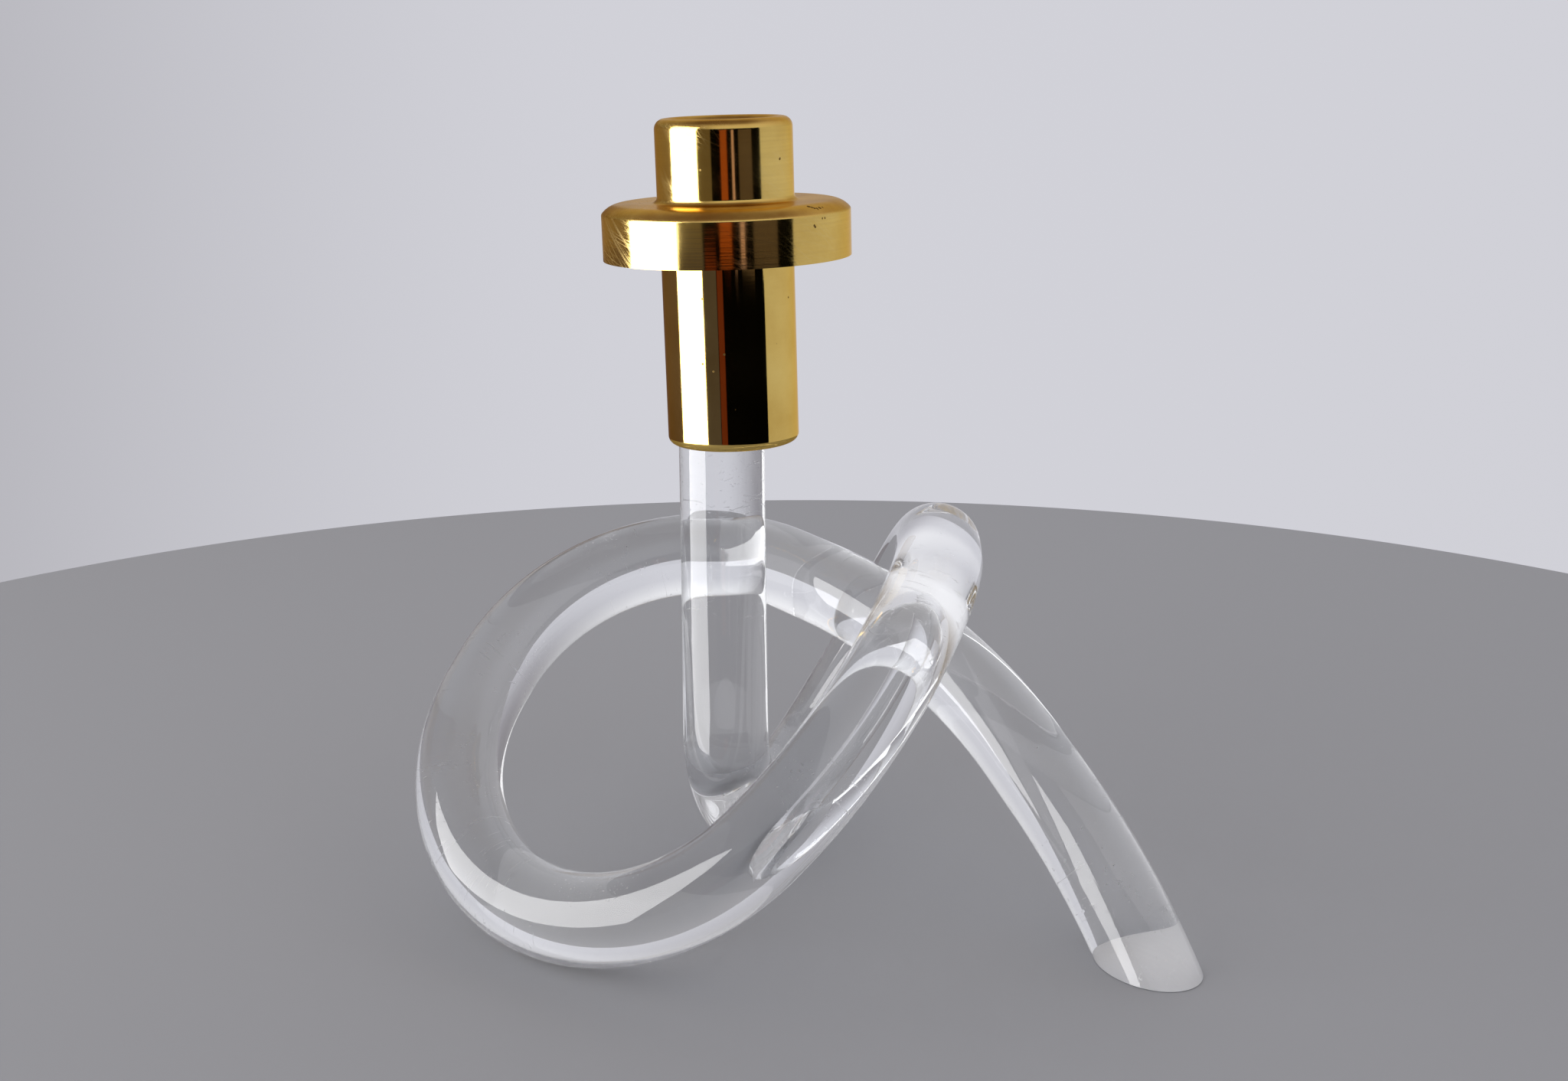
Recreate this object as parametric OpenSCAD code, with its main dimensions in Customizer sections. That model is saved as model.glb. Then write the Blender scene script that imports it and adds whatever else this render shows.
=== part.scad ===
// Candle holder: one clear acrylic rod bent into an open knot, with a brass candle cup on its upright end.
// Lengths are in millimetres and angles in degrees. +Z is up, +X is to the right and -Y is the front.
// The origin lies on the table, in the middle of the plan outline.
// The rod stands on three places: the flat cut of its foot, its front loop and the bend below the stem.

/* [Acrylic rod] */
// Diameter of the rod
rod_d = 25.4; // [16:0.1:26]
// Width that the sideways shares of the bend corners are taken from
knot_w = 200; // [180:1:240]
// Depth that the front to back shares of the bend corners are taken from
knot_d = 130; // [118:1:160]
// Height that the upward shares of the bend corners are taken from
knot_h = 88; // [78:0.5:104]
// Height of the stem's upper end above the table
stem_h = 128.1; // [112:0.1:170]

/* [Brass sleeve] */
// Outer diameter of the sleeve that stands on the stem
sleeve_d = 38.5; // [34:0.1:44]
// Wall of the sleeve
sleeve_wall = 0.9; // [0.6:0.05:2]
// Floor of the sleeve
sleeve_floor = 1.2; // [0.8:0.05:3]
// Rounding of the sleeve's lower edge
sleeve_edge_r = 2.25; // [2.1:0.05:2.6]
// How far the cup's axis stands to the right of the stem's axis
cup_shift = 3.6; // [0:0.1:4]
// How far the cup leans to the left, in degrees
cup_lean = 1.3; // [0:0.05:2]

/* [Drip cap] */
// Height of the whole cup, from the stem's end to the crest of its lip
cup_h = 93.5; // [86:0.1:120]
// Height of the flange's upper face above the stem's end
flange_h = 70; // [64:0.1:72]
// Diameter of the flange
flange_d = 71.7; // [60:0.1:90]
// Height of the skirt round the flange
skirt_h = 15.9; // [10:0.1:24]
// Sheet of the drip cap
cap_sheet = 0.4; // [0.3:0.05:1]
// Gap between the sleeve and the cap's collar, on the radius
cap_fit = 0.1; // [0.1:0.05:0.4]
// Rounding of the flange's shoulder
shoulder_r = 7; // [4.5:0.1:9]
// How far the shoulder falls from the flange's face to its crease on the skirt
shoulder_drop = 2.8; // [1.5:0.1:4]
// Hollow rounding where the collar rises from the flange
collar_fillet_r = 1.75; // [0.8:0.05:4]
// Rounding of the lip that turns in at the collar's top
lip_r = 3; // [2:0.1:3.4]
// How far the lip's inner edge reaches below its crest
lip_drop = 3.6; // [3.5:0.05:6]

/* [Candle socket] */
// Diameter of the candle's bore
candle_d = 22.5; // [20:0.1:25]
// Depth of the candle's bore
candle_depth = 30; // [15:0.5:45]
// Sheet of the candle socket
socket_sheet = 0.6; // [0.4:0.05:0.8]
// Rounding of the socket's mouth
mouth_r = 1.2; // [1:0.05:1.6]
// How far the socket's rim ends inside the sleeve's outer face
rim_inset = 0.25; // [0.1:0.05:0.6]

/* [Hidden] */
$fn = 96;

// Place of the stem's axis from the middle of the plan outline, as shares of the knot's width and depth
stem_x_share = -0.099;
stem_y_share = 0.232;

// Corners of the rod's route as shares of the knot's width, depth and height, from the foot to the stem.
// Sideways and depth shares count from the stem's axis, height shares from the axis of a rod on the table.
corner_share = [
    // the foot ends below the table and is cut off level with it
    [0.605, -0.710, -0.280],
    [0.550, -0.555, 0.045],
    // the arch rises to the left and passes behind the stem
    [0.380, -0.200, 0.510],
    [0.225, -0.035, 0.745],
    [-0.015, 0.275, 0.870],
    // the wide left loop comes down to the table at the front
    [-0.290, 0.155, 0.705],
    [-0.420, -0.175, 0.255],
    [-0.300, -0.540, -0.045],
    [-0.040, -0.760, 0.080],
    // the rod rises to the right in front of the stem and turns over at the top
    [0.175, -0.655, 0.555],
    [0.305, -0.390, 0.980],
    [0.325, 0.105, 0.960],
    // it comes down behind the arch and turns up again on the table
    [0.235, 0.290, 0.450],
    [0.100, 0.200, -0.030],
    [0.005, -0.225, 0.045],
    // the stem stands upright from here
    [0, 0, 0.790],
];

// A straight reaches this share of the rod's diameter into the bends beside it
overlap_share = 0.01;
// A bend is thinner than a straight by this share of the rod's diameter, so a straight's end closes over it
thinner_share = 0.0004;
// How far cutting shapes run past what they cut
cut_over = rod_d;

rod_r = rod_d / 2;
stem_x = knot_w * stem_x_share;
stem_y = knot_d * stem_y_share;
sleeve_r = sleeve_d / 2;
flange_r = flange_d / 2;
candle_r = candle_d / 2;
collar_r = sleeve_r + cap_fit + cap_sheet;
seat_h = cup_h - lip_drop;
sleeve_h = seat_h - socket_sheet;
// How far the shoulder reaches in from the skirt, and where its crease lies on the sheet's outside and inside
shoulder_w = sqrt(pow(shoulder_r, 2) - pow(shoulder_r - shoulder_drop, 2));
crease_h = flange_h - shoulder_drop;
inner_crease_h = flange_h - shoulder_r
    + sqrt(pow(shoulder_r - cap_sheet, 2) - pow(shoulder_w - cap_sheet, 2));

// Route of the rod's axis: a chain of straights and round bends that follows the corners.

// Corner from its shares, in the part's frame
function corner_at(share) = [
    stem_x + share.x * knot_w,
    stem_y + share.y * knot_d,
    rod_r + share.z * knot_h
];

// The stem runs past its end and is cut off there, square to the cup
corners = concat(
    [for (share = corner_share) corner_at(share)],
    [[stem_x, stem_y, stem_h + cut_over]]
);
last = len(corners) - 1;

function unit(v) = v / norm(v);

// Direction and length of the edge that leaves corner i
function way(i) = unit(corners[i + 1] - corners[i]);
function edge(i) = norm(corners[i + 1] - corners[i]);

// Angle that the rod turns through at corner i
function turn(i) = acos(way(i - 1) * way(i));

// A bend takes up to half of each edge beside its corner, and all of an edge at the rod's end
function reach(i) = min(
    i == 1 ? edge(i - 1) : edge(i - 1) / 2,
    i == last - 1 ? edge(i) : edge(i) / 2
);

// Radius of the bend at corner i, where it starts and ends, the direction to its centre and across its plane
function bend_r(i) = reach(i) / tan(turn(i) / 2);
function bend_start(i) = corners[i] - way(i - 1) * reach(i);
function bend_end(i) = i == 0 ? corners[0] : corners[i] + way(i) * reach(i);
function inward(i) = unit(way(i) - way(i - 1) * cos(turn(i)));
function across(i) = cross(way(i - 1), inward(i));

// Moves its children to a place, with their X, Y and Z axes along the given directions
module place(at, x_to, y_to, z_to) {
    multmatrix([
        [x_to.x, y_to.x, z_to.x, at.x],
        [x_to.y, y_to.y, z_to.y, at.y],
        [x_to.z, y_to.z, z_to.z, at.z],
        [0, 0, 0, 1]
    ])
        children();
}

// Round bend at corner i
module bend(i) {
    place(bend_start(i) + inward(i) * bend_r(i), -inward(i), way(i - 1), across(i))
        rotate_extrude(angle = turn(i))
            translate([bend_r(i), 0])
                circle(d = rod_d * (1 - thinner_share));
}

// Straight of the rod between two points, with a direction that is square to it.
// Where two bends meet without a straight, its two overlaps are all that is left of it.
module straight(from, to, along, side) {
    overlap = rod_d * overlap_share;
    place(from - along * overlap, side, cross(along, side), along)
        cylinder(d = rod_d, h = norm(to - from) + 2 * overlap);
}

// All straights and bends of the rod, joined
module rod_route() {
    for (i = [1 : last - 1]) {
        straight(bend_end(i - 1), bend_start(i), way(i - 1), across(i));
        bend(i);
    }
    straight(bend_end(last - 1), corners[last], way(last - 1), across(last - 1));
}

// Moves its children to the stem's end, onto the leaning axis of the cup
module on_cup_axis() {
    translate([stem_x + cup_shift, stem_y, stem_h])
        rotate([0, -cup_lean, 0])
            children();
}

// The bent rod, cut level with the table at its foot and square to the cup at its upper end
module acrylic_rod() {
    color([0.86, 0.9, 0.93, 0.45])
        difference() {
            rod_route();
            translate([corners[0].x - knot_w / 2, corners[0].y - knot_d / 2, -knot_h])
                cube([knot_w, knot_d, knot_h]);
            on_cup_axis()
                cylinder(r = rod_d, h = 2 * cut_over);
        }
}

// Outline of half a cup: a straight wall and a floor with a rounded corner between them
module half_cup(r, h, corner_r) {
    translate([0, corner_r])
        square([r, h - corner_r]);
    square([r - corner_r, corner_r]);
    translate([r - corner_r, corner_r])
        intersection() {
            circle(r = corner_r);
            translate([0, -corner_r])
                square([corner_r, corner_r]);
        }
}

// Bent sheet in section: the part of a ring that lies in the quadrant which starts at the given angle.
// With a width, it ends at that distance along the quadrant's first side.
module sheet_bend(outer_r, sheet, from, width) {
    rotate([0, 0, from])
        intersection() {
            difference() {
                circle(r = outer_r);
                circle(r = outer_r - sheet);
            }
            square([is_undef(width) ? outer_r : width, outer_r]);
        }
}

// The deep cup of brass that stands on the stem's end
module brass_sleeve() {
    color([0.72, 0.57, 0.24])
        on_cup_axis()
            rotate_extrude()
                difference() {
                    half_cup(sleeve_r, sleeve_h, sleeve_edge_r);
                    translate([0, sleeve_floor])
                        half_cup(sleeve_r - sleeve_wall, sleeve_h, sleeve_edge_r - sleeve_wall);
                }
}

// Section of the drip cap, from the skirt's edge over the flange and up the collar to the lip's inner edge
module drip_cap_section() {
    // skirt, up to the middle of the crease, and the round shoulder that meets it at an angle
    translate([flange_r - cap_sheet, flange_h - skirt_h])
        square([cap_sheet, (crease_h + inner_crease_h) / 2 - flange_h + skirt_h]);
    translate([flange_r - shoulder_w, flange_h - shoulder_r])
        sheet_bend(shoulder_r, cap_sheet, 0, shoulder_w);
    // flange and the hollow rounding beside the collar
    translate([collar_r + collar_fillet_r, flange_h - cap_sheet])
        square([flange_r - shoulder_w - collar_r - collar_fillet_r, cap_sheet]);
    translate([collar_r + collar_fillet_r, flange_h + collar_fillet_r])
        sheet_bend(collar_fillet_r + cap_sheet, cap_sheet, 180);
    // collar
    translate([collar_r - cap_sheet, flange_h + collar_fillet_r])
        square([cap_sheet, cup_h - lip_r - flange_h - collar_fillet_r]);
    // lip, over its crest and down to its edge
    translate([collar_r - lip_r, cup_h - lip_r]) {
        sheet_bend(lip_r, cap_sheet, 0);
        sheet_bend(lip_r, cap_sheet, 90);
    }
    translate([collar_r - 2 * lip_r, cup_h - lip_drop])
        square([cap_sheet, lip_drop - lip_r]);
}

// The hat of thin brass sheet that slips over the sleeve and catches the wax
module drip_cap() {
    color([0.8, 0.64, 0.28])
        on_cup_axis()
            rotate_extrude()
                drip_cap_section();
}

// Section of the candle socket: floor, wall, rounded mouth and flat rim
module candle_socket_section() {
    translate([0, seat_h - candle_depth - socket_sheet])
        square([candle_r + socket_sheet, socket_sheet]);
    translate([candle_r, seat_h - candle_depth])
        square([socket_sheet, candle_depth - mouth_r]);
    translate([candle_r + mouth_r, seat_h - mouth_r])
        sheet_bend(mouth_r, socket_sheet, 90);
    translate([candle_r + mouth_r, seat_h - socket_sheet])
        square([sleeve_r - rim_inset - candle_r - mouth_r, socket_sheet]);
}

// The small cup that holds the candle and hangs by its rim on the sleeve, under the cap's lip
module candle_socket() {
    color([0.66, 0.5, 0.2])
        on_cup_axis()
            rotate_extrude()
                candle_socket_section();
}

acrylic_rod();
brass_sleeve();
drip_cap();
candle_socket();
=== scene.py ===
from math import acos, ceil, cos, degrees, pi, radians, sin, sqrt, tan

import bmesh
import bpy
from mathutils import Matrix, Vector


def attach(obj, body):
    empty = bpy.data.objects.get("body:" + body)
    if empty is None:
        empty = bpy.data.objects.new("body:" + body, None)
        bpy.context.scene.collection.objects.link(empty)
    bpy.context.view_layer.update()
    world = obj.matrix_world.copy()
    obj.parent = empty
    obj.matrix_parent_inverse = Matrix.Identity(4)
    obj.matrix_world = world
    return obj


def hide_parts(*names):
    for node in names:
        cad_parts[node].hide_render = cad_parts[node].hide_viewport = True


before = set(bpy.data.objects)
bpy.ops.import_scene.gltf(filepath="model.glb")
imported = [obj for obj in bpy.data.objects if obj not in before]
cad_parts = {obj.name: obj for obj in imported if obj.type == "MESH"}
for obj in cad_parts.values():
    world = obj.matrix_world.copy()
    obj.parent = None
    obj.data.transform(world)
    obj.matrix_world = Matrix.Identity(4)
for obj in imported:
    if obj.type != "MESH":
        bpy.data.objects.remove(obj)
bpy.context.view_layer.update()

MM = 0.001

# Sizes of the part in millimetres, as its source has them
ROD_D = 25.4
KNOT = Vector((200.0, 130.0, 88.0))
STEM_SHARE = (-0.099, 0.232)
STEM_H = 128.1
CORNER_SHARE = (
    (0.605, -0.710, -0.280),
    (0.550, -0.555, 0.045),
    (0.380, -0.200, 0.510),
    (0.225, -0.035, 0.745),
    (-0.015, 0.275, 0.870),
    (-0.290, 0.155, 0.705),
    (-0.420, -0.175, 0.255),
    (-0.300, -0.540, -0.045),
    (-0.040, -0.760, 0.080),
    (0.175, -0.655, 0.555),
    (0.305, -0.390, 0.980),
    (0.325, 0.105, 0.960),
    (0.235, 0.290, 0.450),
    (0.100, 0.200, -0.030),
    (0.005, -0.225, 0.045),
    (0.0, 0.0, 0.790),
)
SLEEVE_R = 19.25
SLEEVE_WALL = 0.9
SLEEVE_FLOOR = 1.2
SLEEVE_EDGE_R = 2.25
CUP_SHIFT = 3.6
CUP_LEAN = 1.3
CUP_H = 93.5
FLANGE_H = 70.0
FLANGE_R = 35.85
SKIRT_H = 15.9
CAP_SHEET = 0.4
CAP_FIT = 0.1
SHOULDER_R = 7.0
SHOULDER_DROP = 2.8
CREASE = 0.4
FILLET_R = 1.75
LIP_R = 3.0
LIP_DROP = 3.6
CANDLE_R = 11.25
CANDLE_DEPTH = 30.0
SOCKET_SHEET = 0.6
MOUTH_R = 1.2
RIM_INSET = 0.25

COLLAR_R = SLEEVE_R + CAP_FIT + CAP_SHEET
SEAT_H = CUP_H - LIP_DROP
SLEEVE_H = SEAT_H - SOCKET_SHEET
STEM_X = KNOT.x * STEM_SHARE[0]
STEM_Y = KNOT.y * STEM_SHARE[1]

# Camera of the photograph, in millimetres and degrees, seen from the stem's foot
CAMERA_AT = (18.23, -564.07, 241.86)
CAMERA_DOWN = 14.366
CAMERA_ROLL = -0.274
CAMERA_LENS = 44.628
SENSOR_W = 36.0

# Studio, in metres and degrees; azimuths count to the right from the camera's side
FLOOR_R = 0.5
FLOOR_GAP = 0.0002
FLAG_R = 0.8
STRIP_R = 0.78
LOW = (-0.35, 0.1)
HIGH = (0.1, 0.42)
FLAGS = (
    ("dark_low", FLAG_R, -21, 66, LOW, (0.001, 0.001, 0.001)),
    ("dark_high", FLAG_R, -22, 64, HIGH, (0.001, 0.001, 0.001)),
    ("olive_low", FLAG_R, -44, -21, LOW, (0.12, 0.107, 0.142)),
    ("olive_high", FLAG_R, -44, -22, HIGH, (0.213, 0.175, 0.13)),
    ("side_low", FLAG_R, -168, -100.5, LOW, (0.20, 0.146, 0.147)),
    ("side_high", FLAG_R, -168, -100.5, HIGH, (0.40, 0.31, 0.225)),
    ("warm_strip", STRIP_R, -20, -10, LOW, (0.19, 0.042, 0.02)),
    ("warm_patch", STRIP_R, -6, 5, (0.1, 0.3), (0.47, 0.115, 0.03)),
    ("light_strip", STRIP_R, 13, 17, (0.1, 0.3), (0.75, 0.50, 0.62)),
    ("brown_patch", STRIP_R, 25, 48, (0.1, 0.3), (0.13, 0.10, 0.10)),
)

# Reflections show the window. Matt faces and the view through the acrylic show the glow.
# Each panel: azimuth, height of its middle, distance, size and radiance.
WINDOW = (-71.5, 0.4, 1.5, (1.5, 1.6), 7.5)
GLOW = (-76, 0.6, 1.6, (3.0, 2.4), 1.25)
LIGHT_BOUNCES = 64

# The room from the camera's side to the far one, its upper part, its zenith and its dim left side.
# A rise or reach says where the change begins and ends, as a part of the direction looked in.
ROOM = (
    (0.0, (0.54, 0.54, 0.56)),
    (0.5, (0.59, 0.59, 0.62)),
    (1.0, (0.64, 0.64, 0.69)),
)
ROOM_HIGH = (0.92, 0.92, 0.95)
ROOM_HIGH_RISE = (0.12, 0.55)
ROOM_ZENITH = (0.36, 0.31, 0.26)
ROOM_ZENITH_RISE = (0.75, 0.93)
ROOM_DIM = (0.05, 0.035, 0.045)
ROOM_DIM_REACH = (-0.8, -0.05)
ROOM_DIM_LEAST = 0.36

# Colours of the surfaces, from dark to light where there are several
FLOOR_COLOUR = (0.365, 0.37, 0.395)
ACRYLIC_COLOURS = ((0.975, 0.985, 0.99), (0.99, 0.992, 1.0))
SAWN_COLOURS = ((0.90, 0.90, 0.93), (0.97, 0.97, 0.99))
GOLD = (
    (0.3, (0.72, 0.48, 0.12)),
    (0.55, (0.83, 0.59, 0.17)),
    (0.8, (0.88, 0.65, 0.21)),
)
GOLD_AT_EDGE = (0.95, 0.75, 0.45)
GOLD_BRUSHED = (0.50, 0.34, 0.11)
# paler tint of the brass scratches: worn metal, with a painted sheen of the window's light
SCRATCH_SHEEN_GOLD = (0.95, 0.82, 0.50)
# painted dark reflection of the ceiling, laid in patches on the brass's level faces
PAINTED_TOP_REFLECTION_COLOUR = (0.28, 0.13, 0.03)
PIT_COLOUR = (0.10, 0.05, 0.02)
ACRYLIC_IOR = 1.49

# Brushing and scratches: turns in degrees, sizes in millimetres with the long one along the line
ACRYLIC_SCRATCH_TURNS = ((20, 35, 10), (-35, 15, 60), (70, -20, 140))
ACRYLIC_SCRATCH = (0.6, 0.6, 35.0)
SAW_MARK_TURN = (0, 0, 25)
SAW_MARK = (0.9, 14.0, 14.0)
BRUSH_LINE = (22.0, 0.7, 0.7)
BRASS_SCRATCH_TURNS = ((0, -32, 0), (0, -64, 0))
BRASS_SCRATCH = (0.3, 0.3, 34.0)
# Brass finishes: strength of the brushing, least and most roughness
POLISHED = (0.05, (0.03, 0.07))
BRUSHED = (0.25, (0.06, 0.13))
# Share of a speck's reach at which it starts to fade
SPECK_CORE = 0.6
# Scratches fade to a share over this way round the cup, from its front to its right, so they crowd
# on its left side, where the window's highlight falls and their painted paler sheen shows
SCRATCH_SHEEN_FADE = 12.0
SCRATCH_SHEEN_FADE_SHARE = 0.25

# Dark marks on the cap: place and reach in millimetres
WORN_SPOTS = (
    (5.7, 7.1, 198.1, 1.5),
    (6.5, 7.2, 197.9, 1.3),
    (7.3, 7.3, 197.6, 1.3),
    (8.0, 7.8, 197.5, 1.3),
    (8.8, 8.9, 197.6, 1.4),
    (9.4, 10.2, 197.8, 1.5),
    (9.4, 6.8, 194.9, 1.0),
    (10.1, 7.6, 194.9, 1.0),
    (7.1, 4.3, 193.2, 1.1),
    (7.4, 4.5, 192.8, 1.0),
    (-2.2, 18.4, 210.4, 1.3),
)

# Fineness of the meshes, and the angles past which their edges are hard
ROD_SIDES = 96
ROD_STEP = 1.5
ROD_MERGE = 0.0002
ROD_HARD_ANGLE = 25
LATHE_SIDES = 256
LATHE_HARD_ANGLE = 35
SLEEVE_BAND = 14.0
FLAG_STEPS = 32


def cup_matrix():
    """Millimetres on the cup's own axis to metres in the part's frame."""
    place = Matrix.Translation(Vector((STEM_X + CUP_SHIFT, STEM_Y, STEM_H)))
    return Matrix.Scale(MM, 4) @ place @ Matrix.Rotation(radians(-CUP_LEAN), 4, "Y")


def corners():
    """Corners of the rod's route, with the stem run past its end."""
    out = []
    for x, y, z in CORNER_SHARE:
        out.append(Vector((STEM_X + x * KNOT.x, STEM_Y + y * KNOT.y, ROD_D / 2 + z * KNOT.z)))
    return out + [Vector((STEM_X, STEM_Y, STEM_H + ROD_D))]


def route():
    """Points along the rod's axis with their directions: straights joined by round bends."""
    at = corners()
    last = len(at) - 1
    way = [(b - a).normalized() for a, b in zip(at, at[1:])]
    edge = [(b - a).length for a, b in zip(at, at[1:])]
    points = [(at[0], way[0])]
    for i in range(1, last):
        before = edge[i - 1] * (1.0 if i == 1 else 0.5)
        after = edge[i] * (1.0 if i == last - 1 else 0.5)
        reach = min(before, after)
        turn = acos(way[i - 1].dot(way[i]))
        radius = reach / tan(turn / 2)
        inward = (way[i] - way[i - 1] * cos(turn)).normalized()
        start = at[i] - way[i - 1] * reach
        centre = start + inward * radius
        add_straight(points, start, way[i - 1])
        steps = max(4, ceil(radius * turn / ROD_STEP))
        for k in range(1, steps + 1):
            a = turn * k / steps
            spot = centre + (way[i - 1] * sin(a) - inward * cos(a)) * radius
            points.append((spot, way[i - 1] * cos(a) + inward * sin(a)))
    add_straight(points, at[last], way[-1])
    return points


def add_straight(points, end, way):
    """Adds points from the last one to an end, evenly spaced."""
    start = points[-1][0]
    length = (end - start).length
    if length < ROD_D * 0.001:
        return
    steps = max(1, ceil(length / (2 * ROD_STEP)))
    for k in range(1, steps + 1):
        points.append((start.lerp(end, k / steps), way))


def new_object(name, bm, body, replaced):
    """Makes the piece from its mesh and tells the frame what it is."""
    mesh = bpy.data.meshes.new(name)
    bm.to_mesh(mesh)
    bm.free()
    piece = bpy.data.objects.new(name, mesh)
    bpy.context.scene.collection.objects.link(piece)
    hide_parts(replaced)
    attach(piece, body)
    return piece


def smooth_faces(bm, sharp_angle):
    """Smooth shading with hard edges where faces meet at more than an angle."""
    for face in bm.faces:
        face.smooth = True
    for edge in bm.edges:
        edge.smooth = len(edge.link_faces) == 2 and edge.calc_face_angle(0.0) < sharp_angle


def cut_flat(bm, point, normal):
    """Cuts away what lies past a plane and closes the cut with one flat face."""
    everything = bm.verts[:] + bm.edges[:] + bm.faces[:]
    cut = bmesh.ops.bisect_plane(
        bm, geom=everything, plane_co=point, plane_no=normal, clear_outer=True
    )
    rim = [e for e in cut["geom_cut"] if isinstance(e, bmesh.types.BMEdge)]
    bmesh.ops.holes_fill(bm, edges=rim, sides=0)


def build_rod():
    """The bent rod: a round section swept along the route, cut flat at both ends."""
    bm = bmesh.new()
    points = route()
    side = points[0][1].orthogonal().normalized()
    rings = []
    for spot, way in points:
        side = (side - way * side.dot(way)).normalized()
        up = way.cross(side)
        ring = []
        for k in range(ROD_SIDES):
            a = 2 * pi * k / ROD_SIDES
            ring.append(bm.verts.new((spot + (side * cos(a) + up * sin(a)) * ROD_D / 2) * MM))
        rings.append(ring)
    for low, high in zip(rings, rings[1:]):
        for k in range(ROD_SIDES):
            n = (k + 1) % ROD_SIDES
            bm.faces.new((low[k], low[n], high[n], high[k]))
    bm.faces.new(list(reversed(rings[0])))
    bm.faces.new(rings[-1])
    cut_flat(bm, Vector((0, 0, 0)), Vector((0, 0, -1)))
    cup = cup_matrix()
    cut_flat(bm, cup @ Vector((0, 0, 0)), (cup.to_3x3() @ Vector((0, 0, 1))).normalized())
    bmesh.ops.remove_doubles(bm, verts=bm.verts[:], dist=ROD_MERGE * MM)
    bmesh.ops.recalc_face_normals(bm, faces=bm.faces[:])
    smooth_faces(bm, radians(ROD_HARD_ANGLE))
    # the foot's cut, which lies on the table, takes the sawn material
    for face in bm.faces:
        on_table = face.calc_center_median().z < 0.01 * MM
        face.material_index = int(on_table and face.normal.z < -0.99)
    return new_object("clear_rod", bm, "holder", "acrylic_rod")


def arc(x, y, r, start, end, steps):
    """Points of an arc in section, without its first one."""
    out = []
    for k in range(1, steps + 1):
        a = radians(start + (end - start) * k / steps)
        out.append((x + r * cos(a), y + r * sin(a)))
    return out


def line(start, end, steps):
    """Points of a straight in section, without its first one."""
    out = []
    for k in range(1, steps + 1):
        t = k / steps
        out.append((start[0] + (end[0] - start[0]) * t, start[1] + (end[1] - start[1]) * t))
    return out


def blunted(start, corner, end, steps):
    """Points of a corner rounded off between two points beside it, without the first one."""
    out = []
    for k in range(1, steps + 1):
        t = k / steps
        shares = ((1 - t) ** 2, 2 * t * (1 - t), t ** 2)
        parts = list(zip(shares, (start, corner, end)))
        out.append(tuple(sum(share * point[i] for share, point in parts) for i in (0, 1)))
    return out


def lathe(section, closed):
    """Turns a section round the cup's axis. One that isn't closed starts and ends on the axis."""
    bm = bmesh.new()
    place = cup_matrix()
    rings = []
    for r, h in section:
        if r == 0:
            rings.append([bm.verts.new(place @ Vector((0, 0, h)))])
            continue
        ring = []
        for k in range(LATHE_SIDES):
            a = 2 * pi * k / LATHE_SIDES
            ring.append(bm.verts.new(place @ Vector((r * cos(a), r * sin(a), h))))
        rings.append(ring)
    pairs = list(zip(rings, rings[1:]))
    if closed:
        pairs.append((rings[-1], rings[0]))
    for a, b in pairs:
        for k in range(LATHE_SIDES):
            n = (k + 1) % LATHE_SIDES
            if len(a) == 1:
                bm.faces.new((a[0], b[n], b[k]))
            elif len(b) == 1:
                bm.faces.new((a[k], a[n], b[0]))
            else:
                bm.faces.new((a[k], a[n], b[n], b[k]))
    bmesh.ops.recalc_face_normals(bm, faces=bm.faces[:])
    return bm


def sleeve_section():
    """Section of the deep cup, from its floor's underside over the rim to its floor inside."""
    edge = SLEEVE_EDGE_R
    inner_edge = edge - SLEEVE_WALL
    inner_r = SLEEVE_R - SLEEVE_WALL
    path = [(0, 0)]
    path += line((0, 0), (SLEEVE_R - edge, 0), 8)
    path += arc(SLEEVE_R - edge, edge, edge, -90, 0, 12)
    path += line((SLEEVE_R, edge), (SLEEVE_R, SLEEVE_BAND), 24)
    path += line((SLEEVE_R, SLEEVE_BAND), (SLEEVE_R, SLEEVE_H), 20)
    path += line((SLEEVE_R, SLEEVE_H), (inner_r, SLEEVE_H), 1)
    path += line((inner_r, SLEEVE_H), (inner_r, SLEEVE_FLOOR + inner_edge), 20)
    path += arc(inner_r - inner_edge, SLEEVE_FLOOR + inner_edge, inner_edge, 0, -90, 8)
    path += line((inner_r - inner_edge, SLEEVE_FLOOR), (0, SLEEVE_FLOOR), 6)
    return path


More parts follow.
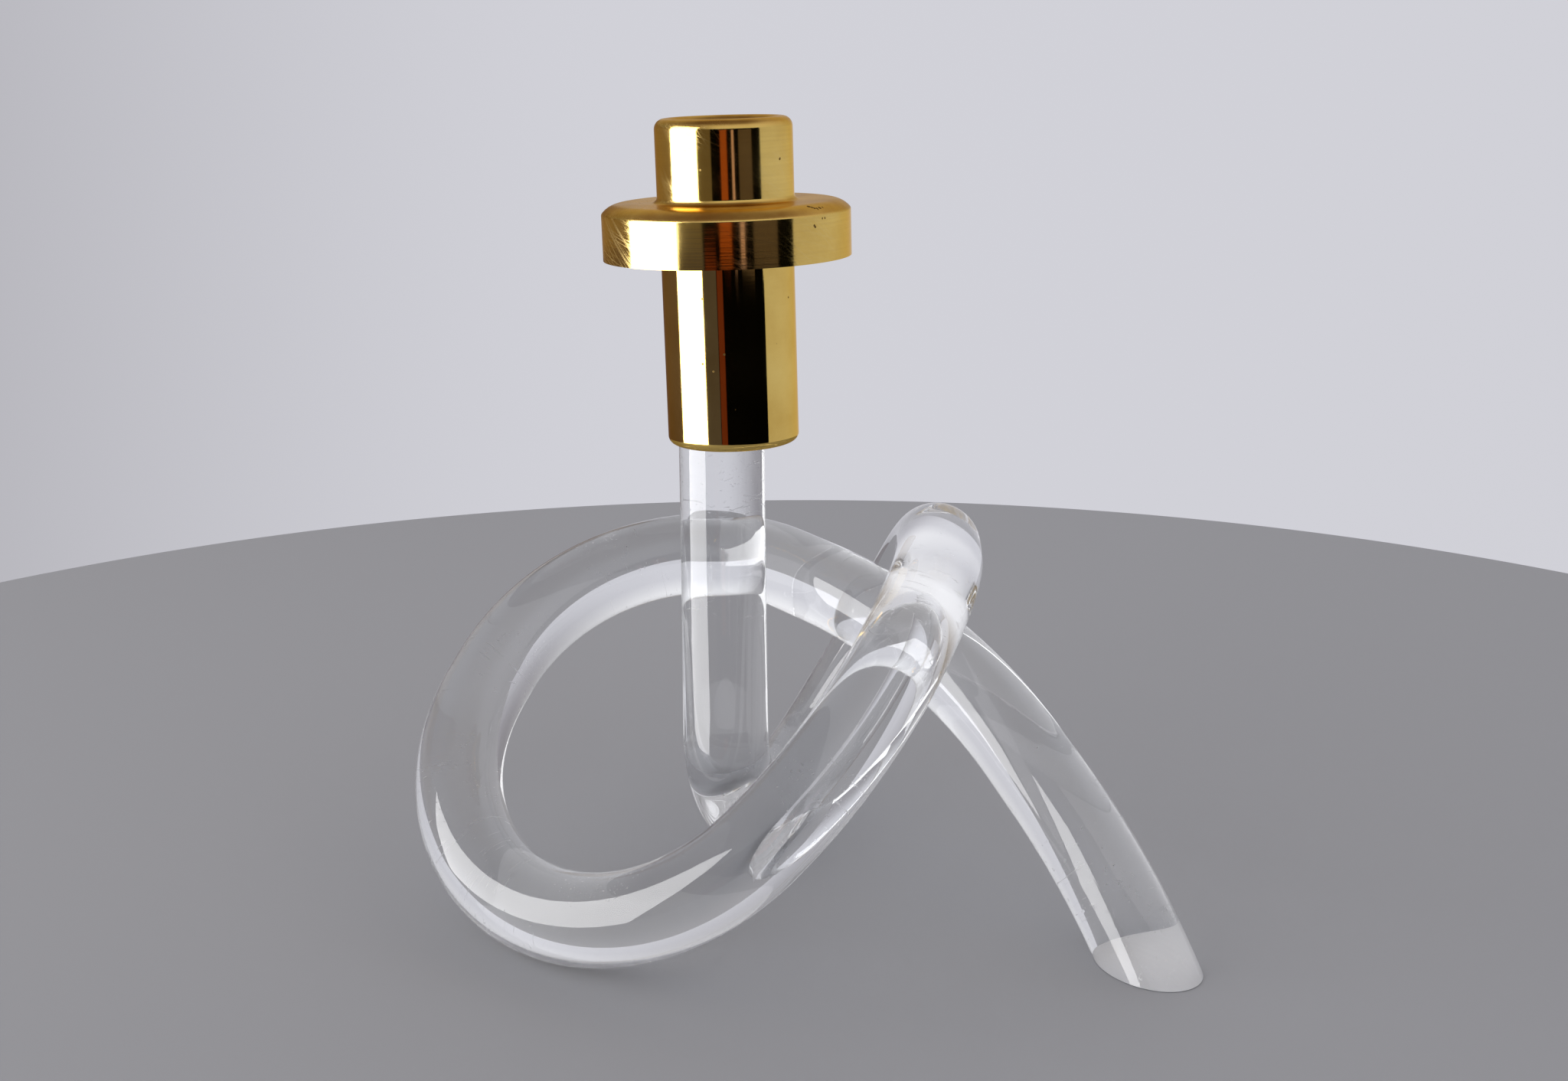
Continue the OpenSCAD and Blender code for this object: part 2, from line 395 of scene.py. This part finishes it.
def cap_section():
    """Section of the drip cap: out along its upper face, back along its lower one."""
    low = FLANGE_H - SKIRT_H
    neck = COLLAR_R + FILLET_R
    sheet = CAP_SHEET
    top = CUP_H - LIP_R
    mouth = COLLAR_R - 2 * LIP_R
    # the shoulder's arc starts at the crease on the skirt
    middle = FLANGE_H - SHOULDER_R
    width = sqrt(SHOULDER_R ** 2 - (SHOULDER_R - SHOULDER_DROP) ** 2)
    bend = FLANGE_R - width
    crease = degrees(acos(width / SHOULDER_R))
    inner_crease = degrees(acos((width - sheet) / (SHOULDER_R - sheet)))
    inner_top = middle + (SHOULDER_R - sheet) * sin(radians(inner_crease))
    path = [(FLANGE_R, low)]
    path += line((FLANGE_R, low), (FLANGE_R, FLANGE_H - SHOULDER_DROP - CREASE), 10)
    shoulder = arc(bend, middle, SHOULDER_R, crease, 90, 16)
    path += blunted(path[-1], (FLANGE_R, FLANGE_H - SHOULDER_DROP), shoulder[0], 5)
    path += shoulder[1:]
    path += line((bend, FLANGE_H), (neck, FLANGE_H), 6)
    path += arc(neck, FLANGE_H + FILLET_R, FILLET_R, 270, 180, 10)
    path += line((COLLAR_R, FLANGE_H + FILLET_R), (COLLAR_R, top), 12)
    path += arc(COLLAR_R - LIP_R, top, LIP_R, 0, 180, 28)
    path += line((mouth, top), (mouth, CUP_H - LIP_DROP), 1)
    path += line(path[-1], (mouth + sheet, CUP_H - LIP_DROP), 1)
    path += line(path[-1], (mouth + sheet, top), 1)
    path += arc(COLLAR_R - LIP_R, top, LIP_R - sheet, 180, 0, 20)
    path += line((COLLAR_R - sheet, top), (COLLAR_R - sheet, FLANGE_H + FILLET_R), 8)
    path += arc(neck, FLANGE_H + FILLET_R, FILLET_R + sheet, 180, 270, 10)
    path += line((neck, FLANGE_H - sheet), (bend, FLANGE_H - sheet), 6)
    path += arc(bend, middle, SHOULDER_R - sheet, 90, inner_crease, 12)
    path += line((FLANGE_R - sheet, inner_top), (FLANGE_R - sheet, low), 8)
    return path


def socket_section():
    """Section of the candle socket, from under its floor over its rim to its floor inside."""
    sheet = SOCKET_SHEET
    floor = SEAT_H - CANDLE_DEPTH
    rim = SLEEVE_R - RIM_INSET
    bend = CANDLE_R + MOUTH_R
    outer = CANDLE_R + sheet
    path = [(0, floor - sheet)]
    path += line((0, floor - sheet), (outer, floor - sheet), 4)
    path += line((outer, floor - sheet), (outer, SEAT_H - MOUTH_R), 8)
    path += arc(bend, SEAT_H - MOUTH_R, MOUTH_R - sheet, 180, 90, 6)
    path += line((bend, SEAT_H - sheet), (rim, SEAT_H - sheet), 3)
    path += line((rim, SEAT_H - sheet), (rim, SEAT_H), 1)
    path += line((rim, SEAT_H), (bend, SEAT_H), 3)
    path += arc(bend, SEAT_H - MOUTH_R, MOUTH_R, 90, 180, 8)
    path += line((CANDLE_R, SEAT_H - MOUTH_R), (CANDLE_R, floor), 10)
    path += line((CANDLE_R, floor), (0, floor), 4)
    return path


def build_turned(name, section, closed, body, replaced):
    """One turned brass piece."""
    bm = lathe(section, closed)
    smooth_faces(bm, radians(LATHE_HARD_ANGLE))
    return new_object(name, bm, body, replaced)


def node_at(tree, kind, **inputs):
    """Adds a node and sets its plain inputs by name."""
    node = tree.nodes.new(kind)
    for key, value in inputs.items():
        node.inputs[key.replace("_", " ")].default_value = value
    return node


def empty_material(name):
    """A material with only its shader and output."""
    mat = bpy.data.materials.new(name)
    mat.use_nodes = True
    tree = mat.node_tree
    tree.nodes.clear()
    out = tree.nodes.new("ShaderNodeOutputMaterial")
    shader = tree.nodes.new("ShaderNodeBsdfPrincipled")
    tree.links.new(shader.outputs["BSDF"], out.inputs["Surface"])
    return mat, tree, shader


def ramp_of(tree, stops):
    """A colour ramp with the given stops: colours, or single values for a grey."""
    node = tree.nodes.new("ShaderNodeValToRGB")
    ramp = node.color_ramp
    while len(ramp.elements) < len(stops):
        ramp.elements.new(0.5)
    for element, (at, colour) in zip(ramp.elements, stops):
        element.position = at
        element.color = (*(colour if isinstance(colour, tuple) else (colour,) * 3), 1.0)
    return node


def stretched_noise(tree, place, turn, size, detail):
    """A noise drawn out along one direction, for brushing and scratches. Sizes in millimetres."""
    mapping = tree.nodes.new("ShaderNodeMapping")
    mapping.vector_type = "TEXTURE"
    mapping.inputs["Rotation"].default_value = [radians(a) for a in turn]
    mapping.inputs["Scale"].default_value = [length * MM for length in size]
    tree.links.new(place, mapping.inputs["Vector"])
    noise = node_at(tree, "ShaderNodeTexNoise", Scale=1.0, Detail=detail, Roughness=0.6)
    tree.links.new(mapping.outputs["Vector"], noise.inputs["Vector"])
    return noise.outputs["Fac"]


def plain_noise(tree, coord, scale, detail, roughness=0.6):
    """An even noise in the part's own space."""
    noise = node_at(tree, "ShaderNodeTexNoise", Scale=scale, Detail=detail, Roughness=roughness)
    tree.links.new(coord.outputs["Object"], noise.inputs["Vector"])
    return noise.outputs["Fac"]


def shaped(tree, value, stops):
    """A value sent through a ramp."""
    node = ramp_of(tree, stops)
    tree.links.new(value, node.inputs["Fac"])
    return node.outputs["Color"]


def joined(tree, operation, first, second):
    """Two values worked into one."""
    node = tree.nodes.new("ShaderNodeMath")
    node.operation = operation
    for socket, value in zip(node.inputs, (first, second)):
        if isinstance(value, float):
            socket.default_value = value
        else:
            tree.links.new(value, socket)
    return node.outputs["Value"]


def blended(tree, share, first, second):
    """Two colours blended by a share."""
    node = tree.nodes.new("ShaderNodeMix")
    node.data_type = "RGBA"
    ends = [s for s in node.inputs if s.type == "RGBA"]
    tree.links.new(share, [s for s in node.inputs if s.name == "Factor" and s.type == "VALUE"][0])
    for socket, value in zip(ends, (first, second)):
        if isinstance(value, tuple):
            socket.default_value = (*value, 1.0)
        else:
            tree.links.new(value, socket)
    return [s for s in node.outputs if s.type == "RGBA"][0]


def specks(tree, coord, scale, size, keep):
    """Small round specks in a share of the cells of a pattern."""
    cells = node_at(tree, "ShaderNodeTexVoronoi", Scale=scale)
    tree.links.new(coord.outputs["Object"], cells.inputs["Vector"])
    dots = shaped(tree, cells.outputs["Distance"], [(SPECK_CORE * size, 1.0), (size, 0.0)])
    parts = tree.nodes.new("ShaderNodeSeparateColor")
    tree.links.new(cells.outputs["Color"], parts.inputs["Color"])
    chosen = joined(tree, "GREATER_THAN", parts.outputs["Red"], 1.0 - keep)
    return joined(tree, "MULTIPLY", dots, chosen)


def add_bumps(tree, shader, bumps):
    """Bumps laid over each other: height, strength and depth in metres of each."""
    below = None
    for height, strength, depth in bumps:
        bump = node_at(tree, "ShaderNodeBump", Strength=strength, Distance=depth)
        tree.links.new(height, bump.inputs["Height"])
        if below:
            tree.links.new(below, bump.inputs["Normal"])
        below = bump.outputs["Normal"]
    tree.links.new(below, shader.inputs["Normal"])


def acrylic_material():
    """Clear polished acrylic: a little polishing haze, slight waves, fine scratches and dust."""
    mat, tree, shader = empty_material("clear acrylic")
    shader.inputs["IOR"].default_value = ACRYLIC_IOR
    shader.inputs["Transmission Weight"].default_value = 1.0
    coord = tree.nodes.new("ShaderNodeTexCoord")
    scratches = None
    for turn in ACRYLIC_SCRATCH_TURNS:
        lines = stretched_noise(tree, coord.outputs["Object"], turn, ACRYLIC_SCRATCH, detail=1.0)
        lines = shaped(tree, lines, [(0.70, 0.0), (0.74, 1.0)])
        scratches = lines if scratches is None else joined(tree, "MAXIMUM", scratches, lines)
    scratch_reach = plain_noise(tree, coord, scale=28.0, detail=2.0)
    scratch_reach = shaped(tree, scratch_reach, [(0.45, 0.0), (0.62, 1.0)])
    scratches = joined(tree, "MULTIPLY", scratches, scratch_reach)
    dust = specks(tree, coord, scale=260.0, size=0.1, keep=0.12)
    marks = joined(tree, "MAXIMUM", scratches, dust)
    haze = plain_noise(tree, coord, scale=60.0, detail=3.0)
    haze = shaped(tree, haze, [(0.35, 0.0), (0.8, 0.03)])
    rough = joined(tree, "ADD", haze, joined(tree, "MULTIPLY", marks, 0.3))
    tree.links.new(rough, shader.inputs["Roughness"])
    tint = blended(tree, plain_noise(tree, coord, scale=14.0, detail=1.0), *ACRYLIC_COLOURS)
    tree.links.new(tint, shader.inputs["Base Color"])
    waves = plain_noise(tree, coord, scale=20.0, detail=2.0, roughness=0.5)
    add_bumps(tree, shader, [(waves, 0.05, 0.0006), (scratches, 0.2, 0.00004)])
    return mat


def sawn_material():
    """The rod's sawn and sanded end: white, matt, with faint saw marks."""
    mat, tree, shader = empty_material("sawn acrylic")
    coord = tree.nodes.new("ShaderNodeTexCoord")
    marks = stretched_noise(tree, coord.outputs["Object"], SAW_MARK_TURN, SAW_MARK, detail=2.0)
    tree.links.new(blended(tree, marks, *SAWN_COLOURS), shader.inputs["Base Color"])
    tree.links.new(shaped(tree, marks, [(0.3, 0.55), (0.7, 0.8)]), shader.inputs["Roughness"])
    add_bumps(tree, shader, [(marks, 0.3, 0.0001)])
    return mat


def upward(tree, coord):
    """How far a face looks up, from 0 on the walls to 1 on level faces."""
    parts = tree.nodes.new("ShaderNodeSeparateXYZ")
    tree.links.new(coord.outputs["Normal"], parts.inputs["Vector"])
    return shaped(tree, parts.outputs["Z"], [(0.1, 0.0), (0.7, 1.0)])


def unrolled(tree, coord):
    """Place on the unrolled cup: way round it from its front, distance from its axis, height."""
    local = tree.nodes.new("ShaderNodeMapping")
    local.vector_type = "TEXTURE"
    local.inputs["Location"].default_value = cup_matrix().to_translation()
    local.inputs["Rotation"].default_value = (0, radians(-CUP_LEAN), 0)
    tree.links.new(coord.outputs["Object"], local.inputs["Vector"])
    parts = tree.nodes.new("ShaderNodeSeparateXYZ")
    tree.links.new(local.outputs["Vector"], parts.inputs["Vector"])
    x, y, z = parts.outputs
    front = joined(tree, "MULTIPLY", y, -1.0)
    way = joined(tree, "MULTIPLY", joined(tree, "ARCTAN2", x, front), SLEEVE_R * MM)
    square = joined(tree, "ADD", joined(tree, "MULTIPLY", x, x), joined(tree, "MULTIPLY", y, y))
    whole = tree.nodes.new("ShaderNodeCombineXYZ")
    for value, socket in zip((way, joined(tree, "SQRT", square, 0.0), z), whole.inputs):
        tree.links.new(value, socket)
    return whole.outputs["Vector"]


def left_side(tree, place):
    """Share of scratches on the unrolled cup: 1 on its left side, where the window's highlight
    falls, low on its right; it places their painted sheen.
    """
    parts = tree.nodes.new("ShaderNodeSeparateXYZ")
    tree.links.new(place, parts.inputs["Vector"])
    return shaped(tree, parts.outputs["X"], [(0.0, 1.0), (SCRATCH_SHEEN_FADE * MM, SCRATCH_SHEEN_FADE_SHARE)])


def worn_spots(tree, coord, spots):
    """Small dark marks with torn outlines. A spot is its place and reach in millimetres."""
    marks = None
    for x, y, z, reach in spots:
        away = tree.nodes.new("ShaderNodeVectorMath")
        away.operation = "DISTANCE"
        away.inputs[1].default_value = (x * MM, y * MM, z * MM)
        tree.links.new(coord.outputs["Object"], away.inputs[0])
        share = joined(tree, "MULTIPLY", away.outputs["Value"], -1 / (reach * MM))
        near = joined(tree, "ADD", share, 1.0)
        marks = near if marks is None else joined(tree, "MAXIMUM", marks, near)
    torn = joined(tree, "ADD", marks, plain_noise(tree, coord, scale=700.0, detail=2.0))
    return shaped(tree, joined(tree, "MULTIPLY", torn, 0.5), [(0.575, 0.0), (0.595, 1.0)])


def brass_material(name, brushing, rough):
    """Brass with brushing round the cup, scratches with a painted sheen on the window's side, a
    painted dark reflection of the ceiling on its level faces, and dark pits.
    """
    mat, tree, shader = empty_material(name)
    shader.inputs["Metallic"].default_value = 1.0
    shader.inputs["Specular Tint"].default_value = (*GOLD_AT_EDGE, 1.0)
    coord = tree.nodes.new("ShaderNodeTexCoord")
    place = unrolled(tree, coord)
    level = upward(tree, coord)
    stains = plain_noise(tree, coord, scale=38.0, detail=5.0)
    scratch_reach = plain_noise(tree, coord, scale=45.0, detail=2.0)
    scratch_reach = shaped(tree, scratch_reach, [(0.42, 0.0), (0.62, 1.0)])
    # scratches kept mostly to the cup's left, where the window's highlight falls; their paler tint
    # there is a painted sheen
    scratch_reach = joined(tree, "MULTIPLY", scratch_reach, left_side(tree, place))
    rings = stretched_noise(tree, place, (0, 0, 0), BRUSH_LINE, detail=3.0)
    rings = shaped(tree, rings, [(0.35, 0.0), (0.65, 1.0)])
    steep, flat = (
        stretched_noise(tree, place, turn, BRASS_SCRATCH, detail=1.0)
        for turn in BRASS_SCRATCH_TURNS
    )
    scratches = shaped(tree, joined(tree, "MAXIMUM", steep, flat), [(0.53, 0.0), (0.66, 1.0)])
    scratches = joined(tree, "MULTIPLY", scratches, scratch_reach)
    gold = shaped(tree, stains, GOLD)
    gold = blended(tree, joined(tree, "MULTIPLY", rings, brushing * 0.7), gold, GOLD_BRUSHED)
    # scratches tinted paler: real scratches, with a painted sheen of the window's light
    gold = blended(tree, joined(tree, "MULTIPLY", scratches, brushing), gold, SCRATCH_SHEEN_GOLD)
    # level faces painted darker brown in patches: a painted reflection of the dark ceiling
    patches = plain_noise(tree, coord, scale=60.0, detail=4.0)
    patches = shaped(tree, patches, [(0.3, 0.65), (0.65, 1.0)])
    painted_top_reflection = joined(tree, "MULTIPLY", joined(tree, "MULTIPLY", level, patches), 0.95)
    gold = blended(tree, painted_top_reflection, gold, PAINTED_TOP_REFLECTION_COLOUR)
    pits = specks(tree, coord, scale=330.0, size=0.13, keep=0.05)
    pits = joined(tree, "MAXIMUM", pits, worn_spots(tree, coord, WORN_SPOTS))
    gold = blended(tree, joined(tree, "MULTIPLY", pits, 0.85), gold, PIT_COLOUR)
    tree.links.new(gold, shader.inputs["Base Color"])
    haze = shaped(tree, stains, [(0.3, rough[0]), (0.75, rough[1])])
    for marks, share in ((level, 0.2), (scratches, brushing * 0.7), (pits, 0.4)):
        haze = joined(tree, "ADD", haze, joined(tree, "MULTIPLY", marks, share))
    tree.links.new(haze, shader.inputs["Roughness"])
    add_bumps(tree, shader, [
        (plain_noise(tree, coord, scale=24.0, detail=1.0), 0.12, 0.0005),
        (rings, 0.3 * brushing, 0.00004),
        (scratches, 0.5 * brushing, 0.00001),
        (pits, -0.4, 0.0001),
    ])
    return mat


def floor_material():
    """Plain pale floor with a soft sheen."""
    mat, _, shader = empty_material("pale floor")
    shader.inputs["Base Color"].default_value = (*FLOOR_COLOUR, 1.0)
    shader.inputs["Roughness"].default_value = 0.7
    shader.inputs["Specular IOR Level"].default_value = 0.25
    return mat


def stage_object(name, bm, material):
    """A stage object from its mesh."""
    mesh = bpy.data.meshes.new(name)
    bm.to_mesh(mesh)
    bm.free()
    obj = bpy.data.objects.new(name, mesh)
    bpy.context.scene.collection.objects.link(obj)
    mesh.materials.append(material)
    return obj


def build_floor():
    """A round pale floor a hair below the foot."""
    bm = bmesh.new()
    bmesh.ops.create_circle(bm, cap_ends=True, segments=256, radius=FLOOR_R)
    floor = stage_object("floor", bm, floor_material())
    floor.location = (0, 0, -FLOOR_GAP)


def build_flag(name, distance, start, end, heights, colour):
    """A curved studio flag for reflections. The dark ones are also seen through the acrylic."""
    bm = bmesh.new()
    low = []
    for k in range(FLAG_STEPS + 1):
        a = radians(start + (end - start) * k / FLAG_STEPS)
        spot = Vector((sin(a), -cos(a), 0)) * distance
        pair = [bm.verts.new(spot + Vector((0, 0, z))) for z in heights]
        if low:
            bm.faces.new((low[0], pair[0], pair[1], low[1]))
        low = pair
    mat, _, shader = empty_material(name)
    shader.inputs["Base Color"].default_value = (*colour, 1.0)
    shader.inputs["Roughness"].default_value = 1.0
    shader.inputs["Specular IOR Level"].default_value = 0.0
    flag = stage_object(name, bm, mat)
    flag.visible_camera = False
    flag.visible_diffuse = False
    flag.visible_transmission = name.startswith("dark")
    flag.visible_shadow = False


def build_world():
    """A plain pale room, a little dimmer on the camera's side and towards the left."""
    world = bpy.data.worlds.new("studio")
    bpy.context.scene.world = world
    world.use_nodes = True
    tree = world.node_tree
    tree.nodes.clear()
    out = tree.nodes.new("ShaderNodeOutputWorld")
    back = tree.nodes.new("ShaderNodeBackground")
    tree.links.new(back.outputs["Background"], out.inputs["Surface"])
    coord = tree.nodes.new("ShaderNodeTexCoord")
    split = tree.nodes.new("ShaderNodeSeparateXYZ")
    tree.links.new(coord.outputs["Generated"], split.inputs["Vector"])
    depth = ramp_of(tree, ROOM)
    share = tree.nodes.new("ShaderNodeMapRange")
    share.inputs["From Min"].default_value = -1.0
    share.inputs["From Max"].default_value = 1.0
    tree.links.new(split.outputs["Y"], share.inputs["Value"])
    tree.links.new(share.outputs["Result"], depth.inputs["Fac"])
    high = shaped(tree, split.outputs["Z"], list(zip(ROOM_HIGH_RISE, (0.0, 1.0))))
    sky = blended(tree, high, depth.outputs["Color"], ROOM_HIGH)
    zenith = shaped(tree, split.outputs["Z"], list(zip(ROOM_ZENITH_RISE, (0.0, 1.0))))
    sky = blended(tree, zenith, sky, ROOM_ZENITH)
    left = tree.nodes.new("ShaderNodeMapRange")
    left.interpolation_type = "SMOOTHSTEP"
    left.inputs["From Min"].default_value = ROOM_DIM_REACH[0]
    left.inputs["From Max"].default_value = ROOM_DIM_REACH[1]
    left.inputs["To Min"].default_value = ROOM_DIM_LEAST
    tree.links.new(split.outputs["X"], left.inputs["Value"])
    sky = blended(tree, left.outputs["Result"], ROOM_DIM, sky)
    tree.links.new(sky, back.inputs["Color"])
    back.inputs["Strength"].default_value = 1.0


def add_panel(name, azimuth, middle, distance, size, radiance):
    """A soft light panel that stands upright and faces the object's axis."""
    data = bpy.data.lights.new(name, "AREA")
    data.shape = "RECTANGLE"
    data.size, data.size_y = size
    data.energy = radiance * size[0] * size[1] * pi
    lamp = bpy.data.objects.new(name, data)
    a = radians(azimuth)
    lamp.location = (sin(a) * distance, -cos(a) * distance, middle)
    away = Vector((sin(a), -cos(a), 0))
    lamp.rotation_mode = "QUATERNION"
    lamp.rotation_quaternion = away.to_track_quat("Z", "Y")
    lamp.visible_camera = False
    bpy.context.scene.collection.objects.link(lamp)
    return lamp


def build_camera():
    """The photograph's camera."""
    data = bpy.data.cameras.new("camera")
    data.sensor_width = SENSOR_W
    data.lens = CAMERA_LENS
    data.clip_start = 0.01
    camera = bpy.data.objects.new("camera", data)
    down, roll = radians(CAMERA_DOWN), radians(CAMERA_ROLL)
    ahead = Vector((0, cos(down), -sin(down)))
    right = Vector((1, 0, 0))
    up = right.cross(ahead)
    right, up = right * cos(roll) + up * sin(roll), up * cos(roll) - right * sin(roll)
    place = Matrix((right, up, -ahead)).transposed().to_4x4()
    stem = Vector((STEM_X, STEM_Y, 0))
    place.translation = (Vector(CAMERA_AT) + stem) * MM
    camera.matrix_world = place
    bpy.context.scene.collection.objects.link(camera)
    bpy.context.scene.camera = camera


def build_all():
    """The dressed object and its studio."""
    acrylic = acrylic_material()
    polished = brass_material("polished brass", *POLISHED)
    brushed = brass_material("brushed brass", *BRUSHED)
    rod = build_rod()
    rod.data.materials.append(acrylic)
    rod.data.materials.append(sawn_material())
    turned = (
        ("deep_cup", sleeve_section(), False, "holder", "brass_sleeve", polished),
        ("drip_hat", cap_section(), True, "cap", "drip_cap", brushed),
        ("candle_cup", socket_section(), False, "holder", "candle_socket", polished),
    )
    for name, section, closed, body, replaced, brass in turned:
        piece = build_turned(name, section, closed, body, replaced)
        piece.data.materials.append(brass)
    build_floor()
    build_world()
    for flag in FLAGS:
        build_flag(*flag)
    window = add_panel("left_window", *WINDOW)
    window.visible_transmission = False
    window.visible_diffuse = False
    glow = add_panel("left_glow", *GLOW)
    glow.visible_glossy = False
    build_camera()


build_all()
# the light has to get through all of the rod's bends
bpy.context.scene.cycles.max_bounces = LIGHT_BOUNCES
bpy.context.scene.cycles.glossy_bounces = LIGHT_BOUNCES
bpy.context.scene.cycles.transmission_bounces = LIGHT_BOUNCES
bpy.context.scene.view_settings.view_transform = "Standard"
